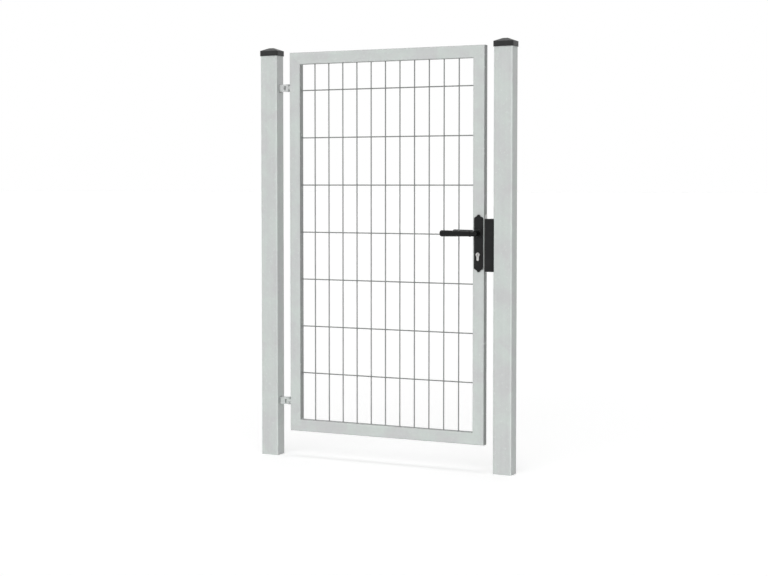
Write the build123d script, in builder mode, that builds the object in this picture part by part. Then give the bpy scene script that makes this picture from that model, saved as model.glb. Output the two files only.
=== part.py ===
from build123d import *
import math
import os

# Single-leaf gate of galvanised box section: two posts, a mitred frame with a welded wire
# panel, two eye bolt hinges, and a lever lock with its keeper. Millimetres, +Z up.
# The origin is the centre of the hinge post's foot, the leaf runs along +X from it,
# and the side that the leaf opens to is -Y.

# Posts
post_width = 80.0
post_depth = 60.0
post_wall = 3.0
post_corner = 6.0
post_above_leaf = 8.0

# Post caps
cap_fit = 0.3
cap_wall = 3.0
cap_skirt = 18.0
cap_rise = 13.0
cap_flat_width = 20.0
cap_flat_depth = 14.0

# Leaf frame
leaf_width = 900.0
leaf_height = 1610.0
ground_clearance = 110.0
hinge_gap = 55.0
lock_gap = 45.0
frame_face = 50.0
frame_depth = 30.0
frame_wall = 2.0
frame_corner = 3.0

# Wire panel
wire_diameter = 5.0
wire_sides = 8
weld_sink = 0.5
row_pitch = 200.0
uprights = 11

# Hinges
hinge_drop = 148.0
hinge_rise = 125.0
bracket_height = 30.0
bracket_depth = 20.0
pin_to_stile = 18.0
pin_diameter = 12.0
pin_play = 0.1
pin_head_diameter = 16.0
pin_head_height = 1.5
pin_end = 1.0
eye_height = 16.0
eye_play = 0.4
eye_slot_room = 3.0
shank_diameter = 16.0
shank_fit = 0.3
shank_reach = 30.0
jam_nut_width = 24.0
jam_nut_height = 5.0

# Lock
lever_height = 966.0
lock_centres = 85.0
lock_backset = 23.0
case_width = 36.0
case_depth = 16.0
case_height = 172.0
case_above_lever = 45.0
case_wall_fit = 0.5
face_width = 22.0
face_height = 235.0
face_thickness = 2.5
bolt_thickness = 11.0
latch_height = 16.0
dead_bolt_height = 36.0
bolt_fit = 0.3
bolt_proud = 0.5
bolt_length = 14.0
cylinder_diameter = 17.0
cylinder_width = 10.0
cylinder_height = 33.0
cylinder_length = 54.0
cylinder_fit = 0.3
plug_diameter = 13.0
plug_groove = 0.6
keyway_width = 2.2
keyway_height = 8.5
keyway_depth = 9.0
spindle_size = 8.0
spindle_fit = 0.1
spindle_hole = 12.0
spindle_length = 100.0

# Escutcheons
plate_width = 38.0
plate_above_lever = 76.0
plate_height = 231.0
plate_thickness = 8.0
plate_edge = 1.5
shoulder_drop = 13.0
shoulder_radius = 5.0
flank_angle = 30.0
crown_radius = 6.5
hollow_radius = 4.0
screw_inset = 9.0
screw_hole = 4.5
rosette_margin = 1.0
rosette_height = 7.0
rosette_edge = 2.0

# Levers
neck_diameter = 22.0
neck_play = 0.2
neck_sink = 6.0
grip_stand = 62.0
elbow_radius = 16.0
grip_length = 150.0
grip_root_diameter = 22.5
grip_end_diameter = 26.0
grip_tip_radius = 8.0
collar_length = 5.0
collar_diameter = 25.0

# Keeper
keeper_gap = 8.5
keeper_height = 212.0
keeper_above_lever = 59.0
keeper_edge = 2.0
pocket_depth = 24.0
pocket_room = 5.0

# Places worked out from the sizes above
leaf_left = post_width / 2 + hinge_gap
leaf_right = leaf_left + leaf_width
leaf_top = ground_clearance + leaf_height
post_height = leaf_top + post_above_leaf
lock_post_face = leaf_right + lock_gap
lock_post_x = lock_post_face + post_width / 2
panel_left = leaf_left + frame_face
panel_right = leaf_right - frame_face
panel_bottom = ground_clearance + frame_face
panel_top = leaf_top - frame_face
pin_x = leaf_left - pin_to_stile
hinge_heights = {"lower": ground_clearance + hinge_rise, "upper": leaf_top - hinge_drop}
lock_x = leaf_right - lock_backset
plate_y = frame_depth / 2 + plate_thickness
cylinder_z = lever_height - lock_centres
case_middle = lever_height + case_above_lever - case_height / 2
latch_z = lever_height
dead_bolt_z = cylinder_z
keeper_left = leaf_right + keeper_gap

pieces = {}


def box_section(width, depth, wall, corner):
    """Adds the outline of a box section with rounded corners to the sketch."""
    RectangleRounded(width, depth, corner)
    RectangleRounded(width - 2 * wall, depth - 2 * wall, corner - wall, mode=Mode.SUBTRACT)


def cylinder_outline(fit):
    """Adds the profile of a lock cylinder, round on top with a flat leg, round its plug."""
    radius = cylinder_diameter / 2
    leg = cylinder_height - radius - cylinder_width / 2
    Circle(radius + fit)
    with Locations((0, -leg / 2)):
        Rectangle(cylinder_width + 2 * fit, leg)
    with Locations((0, -leg)):
        Circle(cylinder_width / 2 + fit)


# Posts

for name, post_x in (("hinge_post", 0), ("lock_post", lock_post_x)):
    with BuildPart() as post:
        with BuildSketch():
            with Locations((post_x, 0)):
                box_section(post_width, post_depth, post_wall, post_corner)
        extrude(amount=post_height)
    pieces[name] = post

# Post caps: a skirt round the post's end under a low hipped crown, hollow inside


def hipped_block(post_x, width, depth, bottom_z, eaves_z):
    """Makes a block whose top is cut to four low slopes, up to the crown's small flat."""
    with BuildPart(mode=Mode.PRIVATE) as block:
        with BuildSketch(Plane.XY.offset(bottom_z)):
            with Locations((post_x, 0)):
                Rectangle(width, depth)
        extrude(amount=eaves_z + cap_rise - bottom_z)
        for side in (1, -1):
            end_slope = Plane(origin=(post_x + side * width / 2, 0, eaves_z),
                              z_dir=(side * cap_rise, 0, (width - cap_flat_width) / 2))
            split(bisect_by=end_slope, keep=Keep.BOTTOM)
            long_slope = Plane(origin=(post_x, side * depth / 2, eaves_z),
                               z_dir=(0, side * cap_rise, (depth - cap_flat_depth) / 2))
            split(bisect_by=long_slope, keep=Keep.BOTTOM)
    return block.part


for name, post_x in (("hinge_post_cap", 0), ("lock_post_cap", lock_post_x)):
    skirt_width = post_width + 2 * (cap_fit + cap_wall)
    skirt_depth = post_depth + 2 * (cap_fit + cap_wall)
    skirt_bottom = Plane.XY.offset(post_height - cap_skirt)
    with BuildPart() as cap:
        add(hipped_block(post_x, skirt_width, skirt_depth, post_height - cap_skirt,
                         post_height + cap_wall))
        with BuildSketch(skirt_bottom):
            with Locations((post_x, 0)):
                RectangleRounded(skirt_width, skirt_depth, post_corner + cap_fit + cap_wall)
        extrude(amount=cap_skirt + cap_wall + cap_rise, mode=Mode.INTERSECT)
        with BuildSketch(skirt_bottom):
            with Locations((post_x, 0)):
                RectangleRounded(post_width + 2 * cap_fit, post_depth + 2 * cap_fit,
                                 post_corner + cap_fit)
        extrude(amount=cap_skirt, mode=Mode.SUBTRACT)
        add(hipped_block(post_x, post_width - 2 * post_wall, post_depth - 2 * post_wall,
                         post_height, post_height), mode=Mode.SUBTRACT)
    pieces[name] = cap

# Leaf frame: each tube is cut at 45 degrees on its outer corners


def mitre(corner_x, corner_z, toward_x, toward_z):
    """Cuts the tube at the frame's corner; the waste lies toward the given direction."""
    cut = Plane(origin=(corner_x, 0, corner_z), z_dir=(toward_x, 0, toward_z))
    split(bisect_by=cut, keep=Keep.BOTTOM)


with BuildPart() as hinge_stile:
    with BuildSketch(Plane.XY.offset(ground_clearance)):
        with Locations((leaf_left + frame_face / 2, 0)):
            box_section(frame_face, frame_depth, frame_wall, frame_corner)
    extrude(amount=leaf_height)
    mitre(leaf_left, leaf_top, 1, 1)
    mitre(leaf_left, ground_clearance, 1, -1)
    for hinge_z in hinge_heights.values():
        with BuildSketch(Plane.YZ.offset(leaf_left)):
            with Locations((0, hinge_z)):
                Circle(shank_diameter / 2 + shank_fit)
        extrude(amount=frame_wall, mode=Mode.SUBTRACT)
pieces["hinge_stile"] = hinge_stile

with BuildPart() as lock_stile:
    with BuildSketch(Plane.XY.offset(ground_clearance)):
        with Locations((leaf_right - frame_face / 2, 0)):
            box_section(frame_face, frame_depth, frame_wall, frame_corner)
    extrude(amount=leaf_height)
    mitre(leaf_right, leaf_top, -1, 1)
    mitre(leaf_right, ground_clearance, -1, -1)
    # The mouth that the lock case goes in through
    with BuildSketch(Plane.YZ.offset(leaf_right)):
        with Locations((0, case_middle)):
            Rectangle(case_depth + 2 * case_wall_fit, case_height + 2 * case_wall_fit)
    extrude(amount=-frame_wall, mode=Mode.SUBTRACT)
    # The spindle and the cylinder go through both faces
    with BuildSketch(Plane.XZ):
        with Locations((lock_x, lever_height)):
            Circle(spindle_hole / 2)
    extrude(amount=frame_depth / 2, both=True, mode=Mode.SUBTRACT)
    with BuildSketch(Plane.XZ):
        with Locations((lock_x, cylinder_z)):
            cylinder_outline(cylinder_fit)
    extrude(amount=frame_depth / 2, both=True, mode=Mode.SUBTRACT)
pieces["lock_stile"] = lock_stile

for name, rail_z, corner_z, side in (
    ("top_rail", leaf_top - frame_face / 2, leaf_top, -1),
    ("bottom_rail", ground_clearance + frame_face / 2, ground_clearance, 1),
):
    with BuildPart() as rail:
        with BuildSketch(Plane.YZ.offset(leaf_left)):
            with Locations((0, rail_z)):
                box_section(frame_depth, frame_face, frame_wall, frame_corner)
        extrude(amount=leaf_width)
        mitre(leaf_left, corner_z, -1, side)
        mitre(leaf_right, corner_z, 1, side)
    pieces[name] = rail

# Wire panel: uprights in front, cross wires behind, sunk into each other at the welds.
# It has as many cross wires as fit over the first one at their pitch

wire_offset = (wire_diameter - weld_sink) / 2
upright_pitch = (panel_right - panel_left) / (uprights + 1)
rows = int((panel_top - panel_bottom - wire_diameter) // row_pitch)
with BuildPart() as mesh_panel:
    with BuildSketch(Plane.XY.offset(panel_bottom)):
        for index in range(uprights):
            with Locations((panel_left + upright_pitch * (index + 1), -wire_offset)):
                RegularPolygon(wire_diameter / 2, wire_sides, rotation=180 / wire_sides)
    extrude(amount=panel_top - panel_bottom)
    with BuildSketch(Plane.YZ.offset(panel_left)):
        for index in range(rows):
            with Locations((wire_offset, panel_bottom + row_pitch * (index + 1))):
                RegularPolygon(wire_diameter / 2, wire_sides, rotation=180 / wire_sides)
    extrude(amount=panel_right - panel_left)
pieces["mesh_panel"] = mesh_panel

# Hinges: a forked block on the post, a pin, and an eye bolt with a jam nut on the leaf

eye_radius = bracket_depth / 2
slot_height = eye_height + 2 * eye_play
for level, hinge_z in hinge_heights.items():
    with BuildPart() as bracket:
        with BuildSketch(Plane.XY.offset(hinge_z - bracket_height / 2)):
            with Locations((pin_x, 0)):
                Circle(bracket_depth / 2)
            with Locations(((post_width / 2 + pin_x) / 2, 0)):
                Rectangle(pin_x - post_width / 2, bracket_depth)
            with Locations((pin_x, 0)):
                Circle(pin_diameter / 2 + pin_play, mode=Mode.SUBTRACT)
        extrude(amount=bracket_height)
        slot_floor = pin_x - eye_radius - eye_slot_room
        with BuildSketch(Plane.XZ):
            with Locations(((slot_floor + leaf_left) / 2, hinge_z)):
                Rectangle(leaf_left - slot_floor, slot_height)
        extrude(amount=bracket_depth, both=True, mode=Mode.SUBTRACT)
    pieces[f"{level}_hinge_bracket"] = bracket

    with BuildPart() as pin:
        with BuildSketch(Plane.XY.offset(hinge_z + bracket_height / 2)):
            with Locations((pin_x, 0)):
                Circle(pin_diameter / 2)
        extrude(amount=-(bracket_height + pin_end))
        with BuildSketch(Plane.XY.offset(hinge_z + bracket_height / 2)):
            with Locations((pin_x, 0)):
                Circle(pin_head_diameter / 2)
        extrude(amount=pin_head_height)
    pieces[f"{level}_hinge_pin"] = pin

    with BuildPart() as eye_bolt:
        with BuildSketch(Plane.YZ.offset(pin_x)):
            with Locations((0, hinge_z)):
                Circle(shank_diameter / 2)
        extrude(amount=pin_to_stile + shank_reach)
        with BuildSketch(Plane.XY.offset(hinge_z - eye_height / 2)):
            with Locations((pin_x, 0)):
                Circle(eye_radius)
        extrude(amount=eye_height)
        with BuildSketch(Plane.XY.offset(hinge_z - eye_height / 2)):
            with Locations((pin_x, 0)):
                Circle(pin_diameter / 2 + pin_play)
        extrude(amount=eye_height, mode=Mode.SUBTRACT)
    pieces[f"{level}_hinge_eye_bolt"] = eye_bolt

    with BuildPart() as jam_nut:
        with BuildSketch(Plane.YZ.offset(leaf_left)):
            with Locations((0, hinge_z)):
                RegularPolygon(jam_nut_width / 2, 6, major_radius=False)
                Circle(shank_diameter / 2, mode=Mode.SUBTRACT)
        extrude(amount=-jam_nut_height)
    pieces[f"{level}_hinge_jam_nut"] = jam_nut

# Lock case: a flat box in the stile, with the face plate that closes its mouth

with BuildPart() as lock_case:
    with BuildSketch(Plane.YZ.offset(leaf_right)):
        with Locations((0, case_middle)):
            Rectangle(case_depth, case_height)
    extrude(amount=-case_width)
    with BuildSketch(Plane.YZ.offset(leaf_right)):
        with Locations((0, case_middle)):
            RectangleRounded(face_width, face_height, face_width / 2 - 1)
    extrude(amount=face_thickness)
    for bolt_z, bolt_height in ((latch_z, latch_height), (dead_bolt_z, dead_bolt_height)):
        with BuildSketch(Plane.YZ.offset(leaf_right + face_thickness)):
            with Locations((0, bolt_z)):
                Rectangle(bolt_thickness + 2 * bolt_fit, bolt_height + 2 * bolt_fit)
        extrude(amount=-(bolt_length - bolt_proud), mode=Mode.SUBTRACT)
    with BuildSketch(Plane.XZ):
        with Locations((lock_x, lever_height)):
            Circle(spindle_hole / 2)
        with Locations((lock_x, cylinder_z)):
            cylinder_outline(cylinder_fit)
    extrude(amount=case_depth, both=True, mode=Mode.SUBTRACT)
pieces["lock_case"] = lock_case

for name, bolt_z, bolt_height in (
    ("latch_bolt", latch_z, latch_height),
    ("dead_bolt", dead_bolt_z, dead_bolt_height),
):
    with BuildPart() as lock_bolt:
        with BuildSketch(Plane.YZ.offset(leaf_right + face_thickness + bolt_proud)):
            with Locations((0, bolt_z)):
                Rectangle(bolt_thickness, bolt_height)
        extrude(amount=-bolt_length)
    pieces[name] = lock_bolt

# Lock cylinder: its body with a keyed plug at each end

with BuildPart() as lock_cylinder:
    with BuildSketch(Plane.XZ):
        with Locations((lock_x, cylinder_z)):
            cylinder_outline(0)
    extrude(amount=cylinder_length / 2, both=True)
    for side in (1, -1):
        with BuildSketch(Plane.XZ.offset(side * cylinder_length / 2)):
            with Locations((lock_x, cylinder_z)):
                Circle(plug_diameter / 2)
                Circle(plug_diameter / 2 - plug_groove, mode=Mode.SUBTRACT)
        extrude(amount=-side * plug_groove, mode=Mode.SUBTRACT)
        with BuildSketch(Plane.XZ.offset(side * cylinder_length / 2)):
            with Locations((lock_x, cylinder_z)):
                SlotOverall(keyway_height, keyway_width, rotation=90)
        extrude(amount=-side * keyway_depth, mode=Mode.SUBTRACT)
pieces["lock_cylinder"] = lock_cylinder

# Escutcheons: long plates whose ends slope from round shoulders, through a hollow, to a
# small round crown, with a rosette that the lever turns in


plate_top = lever_height + plate_above_lever
plate_bottom = plate_top - plate_height
plate_middle = (plate_top + plate_bottom) / 2
flank_rise = plate_width / 2 * math.tan(math.radians(flank_angle))
shoulder_height = plate_height / 2 - shoulder_drop
with BuildPart() as front_escutcheon:
    with BuildSketch(Plane.XZ.offset(frame_depth / 2)) as plate_outline:
        with Locations((lock_x, plate_middle)):
            for end in (1, -1):
                Polygon((0, end * (shoulder_height + flank_rise)),
                        (-plate_width / 2, end * shoulder_height), (-plate_width / 2, 0),
                        (plate_width / 2, 0), (plate_width / 2, end * shoulder_height),
                        align=None)
        with Locations((lock_x, plate_top - crown_radius), (lock_x, plate_bottom + crown_radius)):
            Circle(crown_radius)
        corners = plate_outline.vertices().group_by(Axis.X)
        fillet([*corners[0], *corners[-1]], shoulder_radius)
        crown_edges = plate_outline.edges().filter_by(GeomType.CIRCLE).sort_by(Axis.Z)
        fillet([*crown_edges[0].vertices(), *crown_edges[-1].vertices()], hollow_radius)
    extrude(amount=plate_thickness)
    outer_face = front_escutcheon.faces().sort_by(Axis.Y)[0]
    chamfer(outer_face.outer_wire().edges(), plate_edge)
    with BuildSketch(Plane.XZ.offset(frame_depth / 2)):
        with Locations((lock_x, lever_height)):
            Circle(plate_width / 2 - rosette_margin)
    extrude(amount=plate_thickness + rosette_height)
    rosette_face = front_escutcheon.faces().sort_by(Axis.Y)[0]
    chamfer(rosette_face.outer_wire().edges(), rosette_edge)
    with BuildSketch(Plane.XZ.offset(frame_depth / 2)):
        with Locations((lock_x, lever_height)):
            Circle(neck_diameter / 2 + neck_play)
        with Locations((lock_x, cylinder_z)):
            cylinder_outline(cylinder_fit)
    extrude(amount=plate_thickness + rosette_height, mode=Mode.SUBTRACT)
    with BuildSketch(Plane.XZ.offset(plate_y)):
        with Locations((lock_x, plate_top - screw_inset), (lock_x, plate_bottom + screw_inset)):
            Circle(screw_hole / 2)
    extrude(amount=-plate_thickness / 2, mode=Mode.SUBTRACT)
pieces["front_escutcheon"] = front_escutcheon

with BuildPart() as back_escutcheon:
    mirror(front_escutcheon.part, about=Plane.XZ)
pieces["back_escutcheon"] = back_escutcheon

# Levers: a neck out of the plate, an elbow, and a grip that swells toward its tip

with BuildPart() as front_lever:
    elbow_y = elbow_radius - grip_stand
    elbow_x = lock_x - elbow_radius
    with BuildSketch(Plane.XZ.offset(plate_y - neck_sink)):
        with Locations((lock_x, lever_height)):
            Circle(neck_diameter / 2)
    extrude(amount=-elbow_y - (plate_y - neck_sink))
    with BuildSketch(Plane.XZ.offset(-elbow_y)):
        with Locations((lock_x, lever_height)):
            Circle(neck_diameter / 2)
    revolve(axis=Axis((elbow_x, elbow_y, lever_height), (0, 0, -1)), revolution_arc=90)
    with BuildSketch(Plane.XY.offset(lever_height)):
        with BuildLine():
            tip_x = lock_x - grip_length
            collar_x = elbow_x - collar_length
            corner_y = -grip_stand - grip_end_diameter / 2 + grip_tip_radius
            outline = Polyline(
                (tip_x, corner_y),
                (tip_x, -grip_stand),
                (elbow_x, -grip_stand),
                (elbow_x, -grip_stand - collar_diameter / 2),
                (collar_x, -grip_stand - collar_diameter / 2),
                (collar_x, -grip_stand - grip_root_diameter / 2),
                (tip_x + grip_tip_radius, -grip_stand - grip_end_diameter / 2),
            )
            RadiusArc(outline @ 1, outline @ 0, grip_tip_radius)
        make_face()
    revolve(axis=Axis((elbow_x, -grip_stand, lever_height), (-1, 0, 0)))
    with BuildSketch(Plane.XZ):
        with Locations((lock_x, lever_height)):
            Rectangle(spindle_size + 2 * spindle_fit, spindle_size + 2 * spindle_fit)
    extrude(amount=spindle_length / 2 + spindle_fit, mode=Mode.SUBTRACT)
pieces["front_lever"] = front_lever

with BuildPart() as back_lever:
    mirror(front_lever.part, about=Plane.XZ)
pieces["back_lever"] = back_lever

with BuildPart() as spindle:
    with BuildSketch(Plane.XZ):
        with Locations((lock_x, lever_height)):
            Rectangle(spindle_size, spindle_size)
    extrude(amount=spindle_length / 2, both=True)
pieces["spindle"] = spindle

# Keeper: a box on the lock post's face that fills the gap, open toward the bolts

with BuildPart() as keeper:
    keeper_top = lever_height + keeper_above_lever
    with BuildSketch(Plane.YZ.offset(keeper_left)):
        with Locations((0, keeper_top - keeper_height / 2)):
            Rectangle(post_depth, keeper_height)
    extrude(amount=lock_post_face - keeper_left)
    fillet(keeper.edges().filter_by(Axis.Z).group_by(Axis.X)[0], keeper_edge)
    for bolt_z, bolt_height in ((latch_z, latch_height), (dead_bolt_z, dead_bolt_height)):
        with BuildSketch(Plane.YZ.offset(keeper_left)):
            with Locations((0, bolt_z)):
                Rectangle(bolt_thickness + 2 * pocket_room, bolt_height + 2 * pocket_room)
        extrude(amount=pocket_depth, mode=Mode.SUBTRACT)
pieces["keeper"] = keeper

# One STEP file for each piece

os.makedirs("parts", exist_ok=True)
for name, piece in pieces.items():
    piece.part.label = name
    export_step(piece.part, f"parts/{name}.step")
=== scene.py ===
import math
import random

import bmesh
import bpy
from mathutils import Matrix, Vector


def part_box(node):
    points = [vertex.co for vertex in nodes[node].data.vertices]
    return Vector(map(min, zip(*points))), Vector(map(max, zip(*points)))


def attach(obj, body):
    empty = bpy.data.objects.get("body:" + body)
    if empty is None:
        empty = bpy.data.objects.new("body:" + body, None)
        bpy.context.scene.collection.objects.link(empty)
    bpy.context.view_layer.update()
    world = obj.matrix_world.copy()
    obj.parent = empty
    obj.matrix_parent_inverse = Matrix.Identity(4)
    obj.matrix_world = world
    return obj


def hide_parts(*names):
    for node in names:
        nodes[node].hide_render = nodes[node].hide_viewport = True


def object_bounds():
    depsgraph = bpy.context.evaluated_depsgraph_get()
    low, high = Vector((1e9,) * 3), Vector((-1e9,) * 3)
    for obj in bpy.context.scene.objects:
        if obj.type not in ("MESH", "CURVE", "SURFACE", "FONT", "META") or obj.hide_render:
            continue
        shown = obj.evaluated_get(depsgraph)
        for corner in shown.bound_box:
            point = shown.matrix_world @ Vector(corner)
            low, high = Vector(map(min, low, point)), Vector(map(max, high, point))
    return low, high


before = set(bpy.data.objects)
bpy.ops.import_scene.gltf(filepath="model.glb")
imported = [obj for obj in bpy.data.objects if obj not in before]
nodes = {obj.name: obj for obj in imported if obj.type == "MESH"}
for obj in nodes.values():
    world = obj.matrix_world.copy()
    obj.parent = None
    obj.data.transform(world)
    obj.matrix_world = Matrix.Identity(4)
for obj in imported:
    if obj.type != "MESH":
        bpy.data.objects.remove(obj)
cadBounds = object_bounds()
mm = 0.001
randomness = random.Random(11)
print("frame loaded:", len(nodes), "nodes")

# Camera

cameraView = {
    "place": (3.548, -5.932, 1.165),
    "turn": 26.912,      # degrees to the left of +Y
    "tilt": 2.679,       # degrees down
    "lens": 75.22,
    "sensor": 36,
    "shiftDown": 0.0378,
}


def makeCamera():
    data = bpy.data.cameras.new("camera")
    data.lens = cameraView["lens"]
    data.sensor_width = cameraView["sensor"]
    data.shift_y = -cameraView["shiftDown"]
    camera = bpy.data.objects.new("camera", data)
    camera.location = cameraView["place"]
    camera.rotation_euler = (math.radians(90 - cameraView["tilt"]), 0, math.radians(cameraView["turn"]))
    bpy.context.scene.collection.objects.link(camera)
    bpy.context.scene.camera = camera


makeCamera()
bpy.context.scene.view_settings.view_transform = "Standard"
print("camera placed")

# Small helpers for node trees


def addNode(tree, kind, inputs=None, **settings):
    made = tree.nodes.new(kind)
    for key, value in settings.items():
        setattr(made, key, value)
    for key, value in (inputs or {}).items():
        if isinstance(value, bpy.types.NodeSocket):
            tree.links.new(value, made.inputs[key])
        else:
            made.inputs[key].default_value = value
    return made


def mathOf(tree, operation, first, second=0.0):
    return addNode(tree, "ShaderNodeMath", {0: first, 1: second}, operation=operation).outputs[0]


def mixOf(tree, factor, first, second, blend="MIX"):
    mixed = addNode(tree, "ShaderNodeMix", {0: factor, 6: first, 7: second},
                    data_type="RGBA", blend_type=blend)
    return mixed.outputs[2]


def stretch(tree, value, low, high, newLow=0.0, newHigh=1.0):
    ranged = addNode(tree, "ShaderNodeMapRange", {"Value": value, "From Min": low, "From Max": high,
                                                  "To Min": newLow, "To Max": newHigh})
    return ranged.outputs[0]


def noiseOf(tree, place, scale, detail=2.0, roughness=0.5, distortion=0.0):
    noise = addNode(tree, "ShaderNodeTexNoise", {"Vector": place, "Scale": scale, "Detail": detail,
                                                 "Roughness": roughness, "Distortion": distortion})
    return noise.outputs[0]


def scaled(tree, place, scale):
    return addNode(tree, "ShaderNodeMapping", {"Vector": place, "Scale": scale}).outputs[0]


def vectorMath(tree, operation, first, second=(0, 0, 0)):
    return addNode(tree, "ShaderNodeVectorMath", {0: first, 1: second}, operation=operation).outputs


def newGroup(name, inputs, outputs):
    group = bpy.data.node_groups.new(name, "ShaderNodeTree")
    for label, kind, value in inputs:
        group.interface.new_socket(name=label, in_out="INPUT", socket_type=kind).default_value = value
    for label, kind in outputs:
        group.interface.new_socket(name=label, in_out="OUTPUT", socket_type=kind)
    return group, group.nodes.new("NodeGroupInput").outputs, group.nodes.new("NodeGroupOutput").inputs


def useGroup(tree, group, inputs):
    return addNode(tree, "ShaderNodeGroup", inputs, node_tree=group).outputs


def newMaterial(name, color, roughness, metallic):
    material = bpy.data.materials.new(name)
    material.use_nodes = True
    material.diffuse_color = (*color, 1)
    shader = material.node_tree.nodes["Principled BSDF"]
    shader.inputs["Base Color"].default_value = (*color, 1)
    shader.inputs["Roughness"].default_value = roughness
    shader.inputs["Metallic"].default_value = metallic
    return material, material.node_tree, shader


# Effects that several finishes share

floatSocket, colorSocket, vectorSocket = "NodeSocketFloat", "NodeSocketColor", "NodeSocketVector"
noiseSpan = (0.3, 0.7)       # where most values of a noise lie

zincPattern = {
    "cloudScale": 9.0,
    "cloudEdges": (0.38, 0.62),       # from the darker grey to the lighter
    "bendScale": 70.0,
    "bendShare": 0.012,
    "facetTone": (0.985, 1.012),      # of the darkest and the lightest crystal
    "streakTone": (0.98, 1.02),
    "shadeTurn": (0.5, 0.97),          # 0 for a face that looks sideways, 1 for a front or a back
    "highlightTurn": (0.15, 0.6, 0.99),  # the same, where the painted highlight on a corner starts, peaks and ends
    "fleckRarity": (0.86, 0.93),
    "fleckEdges": (0.55, 0.15),       # from a crystal's rim to its core
    "fleckShare": 0.45,
    "crystalRoughness": (0.50, 0.60),
    "cloudRoughness": (-0.04, 0.06),
    "crystalHeight": 0.25,
    "pitScale": 650.0,
    "pitHeight": 0.3,
    "bumpStrength": 0.35,
    "bumpDepth": 0.4 * mm,
}


# mottled zinc: soft clouds of two greys, crystals of the coat, runs along the piece, and flecks, with
# painted shade on side faces and a painted highlight on round corners
def makeZincSkin():
    group, given, out = newGroup(
        "zincSkin",
        [("Dark", colorSocket, (0.5, 0.5, 0.5, 1)), ("Light", colorSocket, (0.6, 0.6, 0.6, 1)),
         ("Fleck", colorSocket, (0.7, 0.7, 0.7, 1)), ("Crystal Scale", floatSocket, 110.0),
         ("Run Stretch", vectorSocket, (1, 1, 1)), ("Painted Side Shade", floatSocket, 1.0),
         ("Painted Corner Highlight", floatSocket, 1.0)],
        [("Color", colorSocket), ("Roughness", floatSocket), ("Height", floatSocket)])
    pattern = zincPattern
    coordinates = addNode(group, "ShaderNodeTexCoord").outputs
    place = coordinates["Object"]
    cloud = noiseOf(group, place, pattern["cloudScale"], detail=4.0, roughness=0.55, distortion=0.6)
    bend = addNode(group, "ShaderNodeTexNoise", {"Vector": place, "Scale": pattern["bendScale"]})
    bent = mixOf(group, pattern["bendShare"], place, bend.outputs["Color"], "LINEAR_LIGHT")
    crystal = addNode(group, "ShaderNodeTexVoronoi", {"Vector": bent, "Scale": given["Crystal Scale"]})
    shade = addNode(group, "ShaderNodeSeparateColor", {0: crystal.outputs["Color"]}).outputs
    run = noiseOf(group, scaled(group, place, given["Run Stretch"]), 1.0, detail=3.0, roughness=0.6)
    body = mixOf(group, stretch(group, cloud, *pattern["cloudEdges"]), given["Dark"], given["Light"])
    facet = stretch(group, shade[0], 0.0, 1.0, *pattern["facetTone"])
    streak = stretch(group, run, *noiseSpan, *pattern["streakTone"])

    # painted shade and highlight: faces that look sideways, up or down are darkened against the front and
    # the back as painted shade, and the round corners between them are brightened as a painted highlight
    normal = addNode(group, "ShaderNodeSeparateXYZ", {0: coordinates["Normal"]}).outputs
    forward = mathOf(group, "ABSOLUTE", normal["Y"])
    side = stretch(group, forward, *pattern["shadeTurn"], given["Painted Side Shade"], 1.0)
    starts, peaks, ends = pattern["highlightTurn"]
    corner = mathOf(group, "MULTIPLY", stretch(group, forward, starts, peaks),
                    stretch(group, forward, ends, peaks))
    paintedHighlight = stretch(group, corner, 0.0, 1.0, 1.0, given["Painted Corner Highlight"])
    toned = mathOf(group, "MULTIPLY", mathOf(group, "MULTIPLY", facet, streak),
                   mathOf(group, "MULTIPLY", side, paintedHighlight))
    tone = addNode(group, "ShaderNodeCombineColor", {0: toned, 1: toned, 2: toned}).outputs[0]
    tinted = mixOf(group, 1.0, body, tone, "MULTIPLY")

    rare = stretch(group, shade[1], *pattern["fleckRarity"])
    core = stretch(group, crystal.outputs["Distance"], *pattern["fleckEdges"])
    fleck = mathOf(group, "MULTIPLY", mathOf(group, "MULTIPLY", rare, core), pattern["fleckShare"])
    group.links.new(mixOf(group, fleck, tinted, given["Fleck"]), out["Color"])

    rough = mathOf(group, "ADD", stretch(group, shade[2], 0.0, 1.0, *pattern["crystalRoughness"]),
                   stretch(group, cloud, *noiseSpan, *pattern["cloudRoughness"]))
    group.links.new(rough, out["Roughness"])
    pits = noiseOf(group, place, pattern["pitScale"])
    height = mathOf(group, "ADD", mathOf(group, "MULTIPLY", shade[0], pattern["crystalHeight"]),
                    mathOf(group, "ADD", mathOf(group, "MULTIPLY", pits, pattern["pitHeight"]), run))
    group.links.new(height, out["Height"])
    return group


grainPattern = {
    "dustScale": 38.0,
    "wornEdges": (0.45, 0.72),       # from the base tone to the worn one
    "bumpStrength": 0.45,
}


# close even grain, for moulded plastic and powder coat, with slow changes of tone and polish
def makeFineGrain():
    group, given, out = newGroup(
        "fineGrain",
        [("Base", colorSocket, (0.03, 0.03, 0.03, 1)), ("Worn", colorSocket, (0.05, 0.05, 0.05, 1)),
         ("Grain Scale", floatSocket, 900.0), ("Roughness", floatSocket, 0.45),
         ("Roughness Spread", floatSocket, 0.08)],
        [("Color", colorSocket), ("Roughness", floatSocket), ("Height", floatSocket)])
    place = addNode(group, "ShaderNodeTexCoord").outputs["Object"]
    grain = noiseOf(group, place, given["Grain Scale"], roughness=0.6)
    dust = noiseOf(group, place, grainPattern["dustScale"], detail=5.0, roughness=0.65)
    worn = stretch(group, dust, *grainPattern["wornEdges"])
    group.links.new(mixOf(group, worn, given["Base"], given["Worn"]), out["Color"])
    polish = stretch(group, dust, *noiseSpan, -1.0, 1.0)
    spread = mathOf(group, "MULTIPLY", polish, given["Roughness Spread"])
    group.links.new(mathOf(group, "ADD", given["Roughness"], spread), out["Roughness"])
    group.links.new(grain, out["Height"])
    return group


brushedPattern = {
    "roughness": 0.3,
    "roughnessEdges": (0.24, 0.38),
    "bumpStrength": 0.2,
    "bumpDepth": 0.1 * mm,
}


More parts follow.
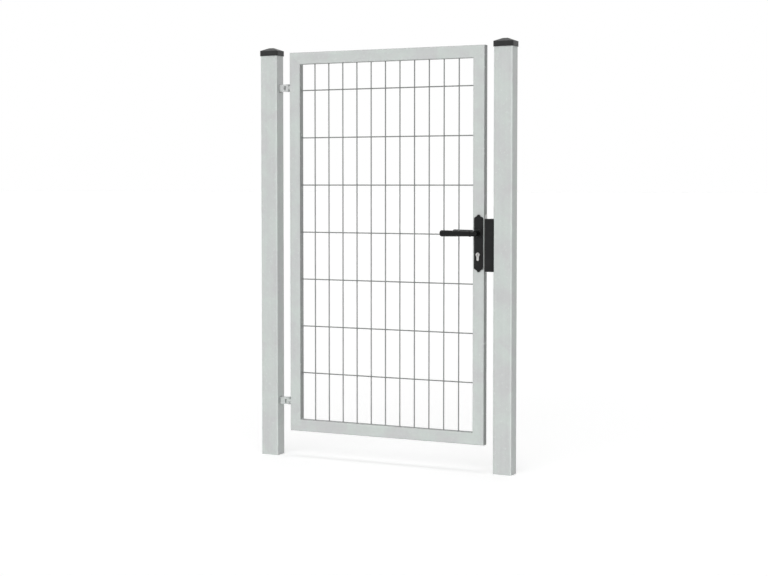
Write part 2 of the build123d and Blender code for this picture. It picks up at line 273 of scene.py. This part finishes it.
# fine lines of a brushed or turned metal face, along one direction
def makeBrushing():
    group, given, out = newGroup(
        "brushing",
        [("Dark", colorSocket, (0.5, 0.5, 0.5, 1)), ("Light", colorSocket, (0.6, 0.6, 0.6, 1)),
         ("Line Stretch", vectorSocket, (1, 1, 1))],
        [("Color", colorSocket), ("Roughness", floatSocket), ("Height", floatSocket)])
    place = addNode(group, "ShaderNodeTexCoord").outputs["Object"]
    line = noiseOf(group, scaled(group, place, given["Line Stretch"]), 1.0, detail=4.0, roughness=0.7)
    shade = stretch(group, line, *noiseSpan)
    group.links.new(mixOf(group, shade, given["Dark"], given["Light"]), out["Color"])
    rough = stretch(group, line, *noiseSpan, *brushedPattern["roughnessEdges"])
    group.links.new(rough, out["Roughness"])
    group.links.new(line, out["Height"])
    return group


zincSkin = makeZincSkin()
fineGrain = makeFineGrain()
brushing = makeBrushing()


def finishWith(tree, shader, effect, bumpStrength, bumpDepth):
    bump = addNode(tree, "ShaderNodeBump", {"Height": effect["Height"], "Strength": bumpStrength,
                                            "Distance": bumpDepth}).outputs[0]
    tree.links.new(effect["Color"], shader.inputs["Base Color"])
    tree.links.new(effect["Roughness"], shader.inputs["Roughness"])
    tree.links.new(bump, shader.inputs["Normal"])


# Finishes: hot-dip zinc on tubes, wires and hinges, plastic, powder coat, steel and nickel

# shades are dark, light and fleck, crystals are per metre, and so are runs, along X, Y and Z
zincFinish = {
    "tubeShades": ((0.560, 0.572, 0.570), (0.585, 0.628, 0.604), (0.690, 0.725, 0.705)),
    "wireShades": ((0.222, 0.229, 0.226), (0.265, 0.276, 0.270), (0.350, 0.363, 0.355)),
    "metallic": 0.3,
    "roughness": 0.5,
    "crystals": {"zincPost": 105.0, "zincStile": 105.0, "zincRail": 105.0, "zincWireAndWeldShade": 260.0,
                 "zincHinge": 190.0},
    "runs": {"zincPost": (75, 75, 2.2), "zincStile": (75, 75, 2.2), "zincRail": (2.2, 75, 75),
             "zincWireAndWeldShade": (40, 40, 40), "zincHinge": (60, 60, 60)},
    # painted shade on the faces of the tubes that look sideways, up or down
    "paintedSideShade": {"zincPost": 0.93, "zincStile": 0.54, "zincRail": 0.54},
    # painted highlight on the posts' round corners
    "paintedCornerHighlight": {"zincPost": 1.40},
}


def makeZinc(name):
    dark, light, fleck = zincFinish["wireShades" if name == "zincWireAndWeldShade" else "tubeShades"]
    material, tree, shader = newMaterial(name, light, zincFinish["roughness"], zincFinish["metallic"])
    skin = useGroup(tree, zincSkin, {
        "Dark": (*dark, 1), "Light": (*light, 1), "Fleck": (*fleck, 1),
        "Crystal Scale": zincFinish["crystals"][name], "Run Stretch": zincFinish["runs"][name],
        "Painted Side Shade": zincFinish["paintedSideShade"].get(name, 1.0),
        "Painted Corner Highlight": zincFinish["paintedCornerHighlight"].get(name, 1.0)})
    finishWith(tree, shader, skin, zincPattern["bumpStrength"], zincPattern["bumpDepth"])
    return material


grainedFinish = {
    "capPlastic": {"base": (0.010, 0.0105, 0.0105), "worn": (0.018, 0.0185, 0.0185), "grain": 1100.0,
                   "roughness": 0.42, "spread": 0.06, "shine": 0.42, "bumpDepth": 0.2 * mm},
    "blackCoat": {"base": (0.008, 0.0085, 0.0085), "worn": (0.013, 0.014, 0.014), "grain": 700.0,
                  "roughness": 0.40, "spread": 0.05, "shine": 0.22, "bumpDepth": 0.15 * mm},
    "leverCoat": {"base": (0.003, 0.0033, 0.0033), "worn": (0.005, 0.0055, 0.0055), "grain": 700.0,
                  "roughness": 0.22, "spread": 0.04, "shine": 0.22, "bumpDepth": 0.06 * mm},
    # near black: rubber whose colour also stands in for the shadow in the groove beside the keeper (painted
    # shade)
    "rubberAndShade": {"base": (0.002, 0.002, 0.002), "worn": (0.004, 0.004, 0.004), "grain": 500.0,
                  "roughness": 0.75, "spread": 0.05, "shine": 0.05, "bumpDepth": 0.2 * mm},
}


def makeGrained(name):
    look = grainedFinish[name]
    material, tree, shader = newMaterial(name, look["base"], look["roughness"], metallic=0.0)
    shader.inputs["Specular IOR Level"].default_value = look["shine"]
    grain = useGroup(tree, fineGrain, {
        "Base": (*look["base"], 1), "Worn": (*look["worn"], 1), "Grain Scale": look["grain"],
        "Roughness": look["roughness"], "Roughness Spread": look["spread"]})
    finishWith(tree, shader, grain, grainPattern["bumpStrength"], look["bumpDepth"])
    return material


# lines are per metre along X, Y and Z
brushedFinish = {
    "brushedSteel": {"dark": (0.40, 0.40, 0.39), "light": (0.55, 0.55, 0.54), "lines": (900, 900, 14)},
    "satinNickel": {"dark": (0.50, 0.495, 0.485), "light": (0.68, 0.675, 0.66), "lines": (700, 60, 700)},
}
# painted shade, near black, in the cylinder's keyways and plug grooves
keywayShade = {
    "color": (0.012, 0.012, 0.012, 1),
    "sunk": 0.4 * mm,        # below the cylinder's faces
    "reach": 6.6 * mm,       # from the plug's axis
    "soften": 0.15 * mm,
}


# painted shade: 1 inside the lock cylinder's keyways and in the grooves round its plugs, where they are
# darkened, 0 elsewhere
def keywayShadeMask(tree):
    low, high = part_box("lock_cylinder")
    axis = Vector(((low.x + high.x) / 2, 0, high.z - (high.x - low.x) / 2))
    sunk, reach, soften = keywayShade["sunk"], keywayShade["reach"], keywayShade["soften"]
    place = addNode(tree, "ShaderNodeTexCoord").outputs["Object"]
    depth = mathOf(tree, "ABSOLUTE", addNode(tree, "ShaderNodeSeparateXYZ", {0: place}).outputs["Y"])
    inside = stretch(tree, depth, high.y - sunk + soften, high.y - sunk)
    fromAxis = vectorMath(tree, "SUBTRACT", place, axis)["Vector"]
    flat = vectorMath(tree, "MULTIPLY", fromAxis, (1, 0, 1))["Vector"]
    distance = vectorMath(tree, "LENGTH", flat)["Value"]
    return mathOf(tree, "MULTIPLY", inside, stretch(tree, distance, reach + soften, reach))


def makeBrushed(name):
    look = brushedFinish[name]
    material, tree, shader = newMaterial(name, look["light"], brushedPattern["roughness"], metallic=1.0)
    face = useGroup(tree, brushing, {"Dark": (*look["dark"], 1), "Light": (*look["light"], 1),
                                     "Line Stretch": look["lines"]})
    finishWith(tree, shader, face, brushedPattern["bumpStrength"], brushedPattern["bumpDepth"])
    # the keyways and plug grooves are darkened with painted shade
    if name == "satinNickel":
        keywayShaded = mixOf(tree, keywayShadeMask(tree), face["Color"], keywayShade["color"])
        tree.links.new(keywayShaded, shader.inputs["Base Color"])
    return material


finishes = {}
for make, looks in ((makeZinc, zincFinish["crystals"]), (makeGrained, grainedFinish),
                    (makeBrushed, brushedFinish)):
    finishes.update({name: make(name) for name in looks})
print("finishes made:", ", ".join(finishes))

# What each node wears

wears = {
    "zincPost": ("hinge_post", "lock_post"),
    "zincStile": ("hinge_stile", "lock_stile"),
    "zincRail": ("top_rail", "bottom_rail"),
    "zincWireAndWeldShade": ("mesh_panel",),
    "zincHinge": ("upper_hinge_bracket", "lower_hinge_bracket", "upper_hinge_pin", "lower_hinge_pin",
                  "upper_hinge_eye_bolt", "lower_hinge_eye_bolt", "upper_hinge_jam_nut",
                  "lower_hinge_jam_nut"),
    "capPlastic": ("hinge_post_cap", "lock_post_cap"),
    "blackCoat": ("keeper", "front_escutcheon", "back_escutcheon"),
    "leverCoat": ("front_lever", "back_lever"),
    "brushedSteel": ("lock_case", "latch_bolt", "dead_bolt", "spindle"),
    "satinNickel": ("lock_cylinder",),
}
for finishName, wearing in wears.items():
    for nodeName in wearing:
        for materialSlot in nodes[nodeName].material_slots:
            materialSlot.material = finishes[finishName]
print("nodes finished:", sum(len(wearing) for wearing in wears.values()))

# Small helpers for meshes


# joins rings of as many points each by faces, and closes the first and the last
def loft(bm, rings):
    rows = [[bm.verts.new(point) for point in ring] for ring in rings]
    for low, high in zip(rows, rows[1:]):
        for index in range(len(low)):
            after = (index + 1) % len(low)
            bm.faces.new((low[index], low[after], high[after], high[index]))
    bm.faces.new(list(reversed(rows[0])))
    bm.faces.new(rows[-1])


# two directions square to the given one and to each other
def basisFor(direction):
    along = Vector(direction).normalized()
    nearlyUpright = abs(along.z) > 0.9
    helper = Vector((1, 0, 0)) if nearlyUpright else Vector((0, 0, 1))
    first = helper.cross(along).normalized()
    return first, along.cross(first)


def circlePoints(middle, direction, radius, sides):
    first, second = basisFor(direction)
    return [middle + radius * (math.cos(turn) * first + math.sin(turn) * second)
            for turn in (2 * math.pi * index / sides for index in range(sides))]


def addBar(bm, start, end, radius, sides):
    direction = end - start
    loft(bm, [circlePoints(start, direction, radius, sides), circlePoints(end, direction, radius, sides)])


# a melted drop: an ellipsoid with radii along X, Y and Z
def addBlob(bm, middle, radii, rings=6, sides=12):
    stretchBy = Matrix.Translation(middle) @ Matrix.Diagonal((*radii, 1))
    bmesh.ops.create_uvsphere(bm, u_segments=sides, v_segments=rings, radius=1, matrix=stretchBy)


beadShape = {
    "stepsInRipple": 6,
    "backSteps": 7,
    "widthWave": 0.1,        # shares of the width and the height that a ripple takes away
    "heightWave": 0.3,
    "endHeight": 0.15,       # share of the height at the very ends
    "endSlope": 6,           # how fast a run comes up from its ends
    "endNarrowing": 0.4,
    "unevenness": 0.03,
    "sink": 0.6,             # of the height, below the surface
    "footWidth": 0.8,
}


# a run of weld: a low round back that rises and falls once each ripple, with tapered ends
def addBead(bm, start, end, outward, width, height, ripple):
    look = beadShape
    along = (end - start).normalized()
    across = along.cross(outward).normalized()
    length = (end - start).length
    steps = max(int(length / ripple * look["stepsInRipple"]), look["stepsInRipple"])
    turns = [math.pi * index / look["backSteps"] for index in range(look["backSteps"] + 1)]
    rings = []
    for step in range(steps + 1):
        share = step / steps
        dip = 1 - abs(math.sin(math.pi * share * length / ripple))
        taper = min(1, look["endSlope"] * min(share, 1 - share) + look["endHeight"])
        uneven = randomness.uniform(1 - look["unevenness"], 1 + look["unevenness"])
        narrowed = (1 - look["widthWave"] * dip) * (1 - look["endNarrowing"] * (1 - taper))
        halfWidth = width / 2 * narrowed * uneven
        rise = height * (1 - look["heightWave"] * dip) * taper
        centre = start + along * length * share
        back = [centre + across * halfWidth * math.cos(turn) + outward * rise * math.sin(turn)
                for turn in turns]
        foot = centre - outward * look["sink"] * height
        under = [foot + across * halfWidth * side * look["footWidth"] for side in (-1, 1)]
        rings.append(back + under)
    loft(bm, rings)


sharpAngle = 40      # degrees between two faces, from which their edge stays sharp


def addPiece(name, bm, finish, body):
    bmesh.ops.recalc_face_normals(bm, faces=bm.faces)
    mesh = bpy.data.meshes.new(name)
    bm.to_mesh(mesh)
    bm.free()
    mesh.materials.append(finishes[finish])
    mesh.polygons.foreach_set("use_smooth", [True] * len(mesh.polygons))
    mesh.set_sharp_from_angle(angle=math.radians(sharpAngle))
    piece = bpy.data.objects.new(name, mesh)
    bpy.context.scene.collection.objects.link(piece)
    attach(piece, body)
    return piece


# Wire panel: round wires in place of the plain ones, melted together where they cross

wirePanel = {
    "wire": 5.0 * mm,
    "sides": 14,
    "uprights": 11,
    "rows": 7,
    "rowPitch": 200.0 * mm,
    "weldSink": 0.5 * mm,
    "rootInFrame": 1.0 * mm,
    "crossingMelt": (3.1 * mm, 2.3 * mm, 3.1 * mm),
    "crossingSpread": (0.9, 1.15),
    "rootMelt": 4.2 * mm,
    "rootSpread": (0.85, 1.1),
    "rootDepth": 0.85,       # shares of its width that a root's melt has in depth and along its wire
    "rootLength": 0.55,
}
panelLow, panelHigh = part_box("mesh_panel")


def wireCentres():
    pitch = (panelHigh.x - panelLow.x) / (wirePanel["uprights"] + 1)
    columns = [panelLow.x + pitch * (index + 1) for index in range(wirePanel["uprights"])]
    levels = [panelLow.z + wirePanel["rowPitch"] * (index + 1) for index in range(wirePanel["rows"])]
    return columns, levels


def makeWirePanel(columns, levels, radius, offset):
    root, sides = wirePanel["rootInFrame"], wirePanel["sides"]
    bm = bmesh.new()
    for x in columns:
        addBar(bm, Vector((x, -offset, panelLow.z - root)), Vector((x, -offset, panelHigh.z + root)),
               radius, sides)
    for z in levels:
        addBar(bm, Vector((panelLow.x - root, offset, z)), Vector((panelHigh.x + root, offset, z)),
               radius, sides)
    wires = addPiece("wirePanel", bm, "zincWireAndWeldShade", "leaf")
    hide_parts("mesh_panel")


def makeWireWelds(columns, levels, offset):
    depth, length = wirePanel["rootDepth"], wirePanel["rootLength"]
    bm = bmesh.new()
    for x in columns:
        for z in levels:
            swell = randomness.uniform(*wirePanel["crossingSpread"])
            addBlob(bm, Vector((x, 0, z)), [size * swell for size in wirePanel["crossingMelt"]])
        for z in (panelLow.z, panelHigh.z):
            wide = wirePanel["rootMelt"] * randomness.uniform(*wirePanel["rootSpread"])
            addBlob(bm, Vector((x, -offset, z)), (wide, wide * depth, wide * length))
    for z in levels:
        for x in (panelLow.x, panelHigh.x):
            wide = wirePanel["rootMelt"] * randomness.uniform(*wirePanel["rootSpread"])
            addBlob(bm, Vector((x, offset, z)), (wide * length, wide * depth, wide))
    addPiece("wireWelds", bm, "zincWireAndWeldShade", "leaf")


wireColumns, wireLevels = wireCentres()
wireRadius = wirePanel["wire"] / 2
wireOffset = wireRadius - wirePanel["weldSink"] / 2      # uprights in front, cross wires behind
makeWirePanel(wireColumns, wireLevels, wireRadius, wireOffset)
makeWireWelds(wireColumns, wireLevels, wireOffset)
print("wire panel made")

# Weld runs at the frame's mitres and round the hinge brackets

frameWelds = {
    "tube": 50.0 * mm,
    "cornerRound": 3.0 * mm,
    "seamWidth": 6.5 * mm,
    "seamHeight": 0.55 * mm,
    "ripple": 3.2 * mm,
    "innerLeg": 4.5 * mm,
    "innerRise": 0.5,        # shares of a leg
    "bracketLeg": 5.0 * mm,
    "bracketRise": 0.45,
    "filletWidth": 1.4,
}


def makeMitreWelds():
    low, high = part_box("hinge_stile")[0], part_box("lock_stile")[1]
    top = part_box("top_rail")[1].z
    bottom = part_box("bottom_rail")[0].z
    front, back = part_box("top_rail")[0].y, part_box("top_rail")[1].y
    tube, lip = frameWelds["tube"], frameWelds["cornerRound"]
    leg, ripple = frameWelds["innerLeg"], frameWelds["ripple"]
    bm = bmesh.new()
    for cornerX, towardX in ((low.x, 1), (high.x, -1)):
        for cornerZ, towardZ in ((bottom, 1), (top, -1)):
            inward = Vector((towardX, 0, towardZ))
            outer = Vector((cornerX, 0, cornerZ)) + inward * lip
            inner = Vector((cornerX, 0, cornerZ)) + inward * (tube - lip)
            for faceY, outward in ((front, Vector((0, -1, 0))), (back, Vector((0, 1, 0)))):
                addBead(bm, outer + Vector((0, faceY, 0)), inner + Vector((0, faceY, 0)), outward,
                        frameWelds["seamWidth"], frameWelds["seamHeight"], ripple)
            corner = Vector((cornerX, 0, cornerZ)) + inward * tube
            reach = Vector((0, back - lip, 0))
            addBead(bm, corner - reach, corner + reach, inward.normalized(),
                    leg * frameWelds["filletWidth"], leg * frameWelds["innerRise"], ripple)
    addPiece("mitreWelds", bm, "zincHinge", "leaf")


def makeBracketWelds(level):
    low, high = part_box(f"{level}_hinge_bracket")
    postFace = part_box("hinge_post")[1].x
    leg = frameWelds["bracketLeg"]
    bm = bmesh.new()
    edges = (((low.y, low.z), (high.y, low.z), (0, -1)), ((high.y, low.z), (high.y, high.z), (1, 0)),
             ((high.y, high.z), (low.y, high.z), (0, 1)), ((low.y, high.z), (low.y, low.z), (-1, 0)))
    for (startY, startZ), (endY, endZ), (outY, outZ) in edges:
        outward = Vector((1, outY, outZ)).normalized()
        addBead(bm, Vector((postFace, startY, startZ)), Vector((postFace, endY, endZ)), outward,
                leg * frameWelds["filletWidth"], leg * frameWelds["bracketRise"], frameWelds["ripple"])
    # the bracket welds wear the darker wire zinc as painted shade round the brackets where they meet the
    # post
    addPiece(f"{level}BracketWeld", bm, "zincWireAndWeldShade", "posts")


makeMitreWelds()
for hingeLevel in ("upper", "lower"):
    makeBracketWelds(hingeLevel)
print("weld runs made")

# Screw thread on the short stretch of each eye bolt's shank between the fork and the jam nut

shankThread = {
    "pitch": 2.0 * mm,
    "crest": 8.2 * mm,
    "root": 7.85 * mm,
    "sides": 32,
    "stepsInPitch": 8,
}


def makeThread(level):
    nutLow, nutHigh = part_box(f"{level}_hinge_jam_nut")
    middle = (nutLow + nutHigh) / 2
    pitch, sides = shankThread["pitch"], shankThread["sides"]
    start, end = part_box(f"{level}_hinge_bracket")[1].x, nutLow.x
    steps = round((end - start) / pitch * shankThread["stepsInPitch"])
    rings = []
    for step in range(steps + 1):
        x = start + (end - start) * step / steps
        ring = []
        for index in range(sides):
            turn = 2 * math.pi * index / sides
            rise = abs(((x / pitch - index / sides) % 1) * 2 - 1)      # 0 at a root, 1 at a crest
            radius = shankThread["root"] + (shankThread["crest"] - shankThread["root"]) * rise
            ring.append(Vector((x, middle.y + radius * math.cos(turn), middle.z + radius * math.sin(turn))))
        rings.append(ring)
    bm = bmesh.new()
    loft(bm, rings)
    addPiece(f"{level}ShankThread", bm, "zincHinge", "leaf")


for hingeLevel in ("upper", "lower"):
    makeThread(hingeLevel)
print("shank threads made")

# Screws with a hexagon socket: in the escutcheons, the face plate, the keeper and the lever necks

screwLooks = {
    "plateScrew": {"radius": 3.6 * mm, "rise": 1.7 * mm, "socket": 1.25 * mm, "depth": 1.3 * mm},
    "faceScrew": {"radius": 4.4 * mm, "rise": 0.3 * mm, "socket": 1.5 * mm, "depth": 1.2 * mm},
    "keeperScrew": {"radius": 6.0 * mm, "rise": 0.4 * mm, "socket": 2.0 * mm, "depth": 2.2 * mm},
    "grubScrew": {"radius": 2.5 * mm, "rise": 0.2 * mm, "socket": 1.25 * mm, "depth": 1.2 * mm},
}
screwPlaces = {
    "plateThickness": 8.0 * mm,      # an escutcheon without its rosette
    "plateInset": 9.0 * mm,          # from a piece's upper and lower end
    "faceInset": 12.0 * mm,
    "keeperInset": 22.0 * mm,
    "neckRadius": 11.0 * mm,
    "grubOut": 8.0 * mm,             # from the rosette's face
}
screwHead = {
    "sides": 24,
    "foot": 0.3 * mm,
    "dome": ((1.0, 0.3), (0.94, 0.75), (0.8, 0.97), (0.62, 1.0)),    # shares of radius and rise
}
halfFlat = math.pi / 6       # half the angle that one flat of a hexagon spans


# points round a screw's axis, on a circle or, for the socket, on a hexagon
def screwRing(middle, outward, radius, hexagon=False):
    first, second = basisFor(outward)
    points = []
    for index in range(screwHead["sides"]):
        turn = 2 * math.pi * index / screwHead["sides"]
        reach = radius
        if hexagon:
            reach = radius / math.cos((turn + halfFlat) % (2 * halfFlat) - halfFlat)
        points.append(middle + reach * (math.cos(turn) * first + math.sin(turn) * second))
    return points


# a turned head: a low dome with a hexagon socket sunk in it
def addScrew(bm, middle, outward, look):
    radius, rise, socket = look["radius"], look["rise"], look["socket"]
    sunk = rise - look["depth"]
    foot = min(sunk, 0) - screwHead["foot"]
    rings = [screwRing(middle + outward * foot, outward, radius)]
    for reach, height in screwHead["dome"]:
        rings.append(screwRing(middle + outward * rise * height, outward, radius * reach))
    for height in (rise, sunk):
        rings.append(screwRing(middle + outward * height, outward, socket, hexagon=True))
    loft(bm, rings)


def makePlateScrews(side, outward):
    low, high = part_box(f"{side}_escutcheon")
    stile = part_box("lock_stile")[0 if side == "front" else 1]
    plateY = stile.y + outward.y * screwPlaces["plateThickness"]
    bm = bmesh.new()
    for z in (low.z + screwPlaces["plateInset"], high.z - screwPlaces["plateInset"]):
        addScrew(bm, Vector(((low.x + high.x) / 2, plateY, z)), outward, screwLooks["plateScrew"])
    addPiece(f"{side}PlateScrews", bm, "blackCoat", "leaf")


# a set screw under the lever's neck
def makeLeverScrew(side, outward):
    low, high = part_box(f"{side}_escutcheon")
    rosetteY = low.y if side == "front" else high.y
    spindleLow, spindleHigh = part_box("spindle")
    underNeck = (spindleLow.z + spindleHigh.z) / 2 - screwPlaces["neckRadius"]
    place = Vector(((low.x + high.x) / 2, rosetteY + outward.y * screwPlaces["grubOut"], underNeck))
    bm = bmesh.new()
    addScrew(bm, place, Vector((0, 0, -1)), screwLooks["grubScrew"])
    addPiece(f"{side}LeverScrew", bm, "brushedSteel", "lever")


# two screws in the side face of a piece, one near each end
def makeEndScrews(name, low, high, outward, inset, look, body):
    faceX = high.x if outward.x > 0 else low.x
    bm = bmesh.new()
    for z in (low.z + inset, high.z - inset):
        addScrew(bm, Vector((faceX, (low.y + high.y) / 2, z)), outward, look)
    addPiece(name, bm, "brushedSteel", body)


for plateSide, plateOutward in (("front", Vector((0, -1, 0))), ("back", Vector((0, 1, 0)))):
    makePlateScrews(plateSide, plateOutward)
    makeLeverScrew(plateSide, plateOutward)
makeEndScrews("faceScrews", *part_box("lock_case"), Vector((1, 0, 0)), screwPlaces["faceInset"],
              screwLooks["faceScrew"], "leaf")
makeEndScrews("keeperScrews", *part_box("keeper"), Vector((-1, 0, 0)), screwPlaces["keeperInset"],
              screwLooks["keeperScrew"], "posts")
print("screws made")

# Keeper's seat: fills the gap between the keeper's flat side and the post's round corners, a rubber piece
# coloured near black as painted shade for the groove there

keeperSeatAndShade = {
    "postCorner": 6.0 * mm,
    "setBack": 0.5 * mm,
    "endInset": 1.0 * mm,
    "arcSteps": 8,
}


def makeKeeperSeatAndShade():
    low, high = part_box("keeper")
    corner, setBack, steps = keeperSeatAndShade["postCorner"], keeperSeatAndShade["setBack"], keeperSeatAndShade["arcSteps"]
    last = math.asin((corner - setBack) / corner)
    bm = bmesh.new()
    for side in (-1, 1):
        centre = Vector((high.x + corner, side * (high.y - corner), 0))
        arc = [centre + corner * Vector((-math.cos(turn), side * math.sin(turn), 0))
               for turn in (last * index / steps for index in range(steps + 1))]
        outline = arc + [Vector((high.x, side * (high.y - setBack), 0))]
        rings = [[point + Vector((0, 0, z)) for point in outline]
                 for z in (low.z + keeperSeatAndShade["endInset"], high.z - keeperSeatAndShade["endInset"])]
        loft(bm, rings)
    addPiece("keeperSeatAndShade", bm, "rubberAndShade", "posts")


makeKeeperSeatAndShade()
print("keeper seat made")

# Floor, backdrop and light

studio = {
    "floorSize": 400.0,
    "floorColor": 0.80,
    "floorGlow": 0.405,
    "ambient": 0.16,
    "backdrop": 1.0,
    "wallToward": (0.26, -1.0, 0.0),
    "wallEdge": 0.45,        # cosine from the middle of each wall of light to its edge
    "wallStrength": 2.88,
    "backStrength": 1.1,
    "topStrength": 0.80,
    "topSoftness": 22,       # degrees across
}


# 1 for rays from the camera, a reflection or through glass, 0 for light that falls on things
def seenDirectly(tree):
    path = addNode(tree, "ShaderNodeLightPath").outputs
    seen = mathOf(tree, "MAXIMUM", path["Is Camera Ray"], path["Is Glossy Ray"])
    return mathOf(tree, "MAXIMUM", seen, path["Is Transmission Ray"])


def makeFloor():
    grey = studio["floorColor"]
    material, tree, shader = newMaterial("floor", (grey, grey, grey), roughness=1.0, metallic=0.0)
    shader.inputs["Specular IOR Level"].default_value = 0.0
    shader.inputs["Emission Color"].default_value = (1, 1, 1, 1)
    glow = mathOf(tree, "MULTIPLY", seenDirectly(tree), studio["floorGlow"])
    tree.links.new(glow, shader.inputs["Emission Strength"])
    bm = bmesh.new()
    bmesh.ops.create_grid(bm, x_segments=1, y_segments=1, size=studio["floorSize"] / 2)
    mesh = bpy.data.meshes.new("floor")
    bm.to_mesh(mesh)
    bm.free()
    mesh.materials.append(material)
    floor = bpy.data.objects.new("floor", mesh)
    bpy.context.scene.collection.objects.link(floor)


def makeWorld():
    world = bpy.data.worlds.new("studio")
    bpy.context.scene.world = world
    world.use_nodes = True
    tree = world.node_tree
    # even light all round, with a wide soft wall of light in front and a weaker one behind
    direction = addNode(tree, "ShaderNodeTexCoord").outputs["Generated"]
    toFront = vectorMath(tree, "DOT_PRODUCT", direction, Vector(studio["wallToward"]).normalized())["Value"]
    light = studio["ambient"]
    for side, strength in ((1, studio["wallStrength"]), (-1, studio["backStrength"])):
        wall = addNode(tree, "ShaderNodeMapRange", {"Value": toFront, "From Min": side * studio["wallEdge"],
                                                    "From Max": side, "To Min": 0.0, "To Max": strength},
                       interpolation_type="SMOOTHSTEP").outputs[0]
        light = mathOf(tree, "ADD", wall, light)
    seen = seenDirectly(tree)
    backdrop = mathOf(tree, "MULTIPLY", seen, studio["backdrop"])
    falling = mathOf(tree, "MULTIPLY", mathOf(tree, "SUBTRACT", 1.0, seen), light)
    tree.links.new(mathOf(tree, "ADD", backdrop, falling), tree.nodes["Background"].inputs["Strength"])
    tree.nodes["Background"].inputs["Color"].default_value = (1, 1, 1, 1)


# light from straight above, from far off, so that the whole floor is lit alike
def makeTopLamp():
    top = bpy.data.lights.new("topLamp", "SUN")
    top.energy = studio["topStrength"]
    top.angle = math.radians(studio["topSoftness"])
    lamp = bpy.data.objects.new("topLamp", top)
    lamp.location.z = cadBounds[1][2] * 2      # a sun lights alike from anywhere
    bpy.context.scene.collection.objects.link(lamp)


makeFloor()
makeWorld()
makeTopLamp()
print("studio made")
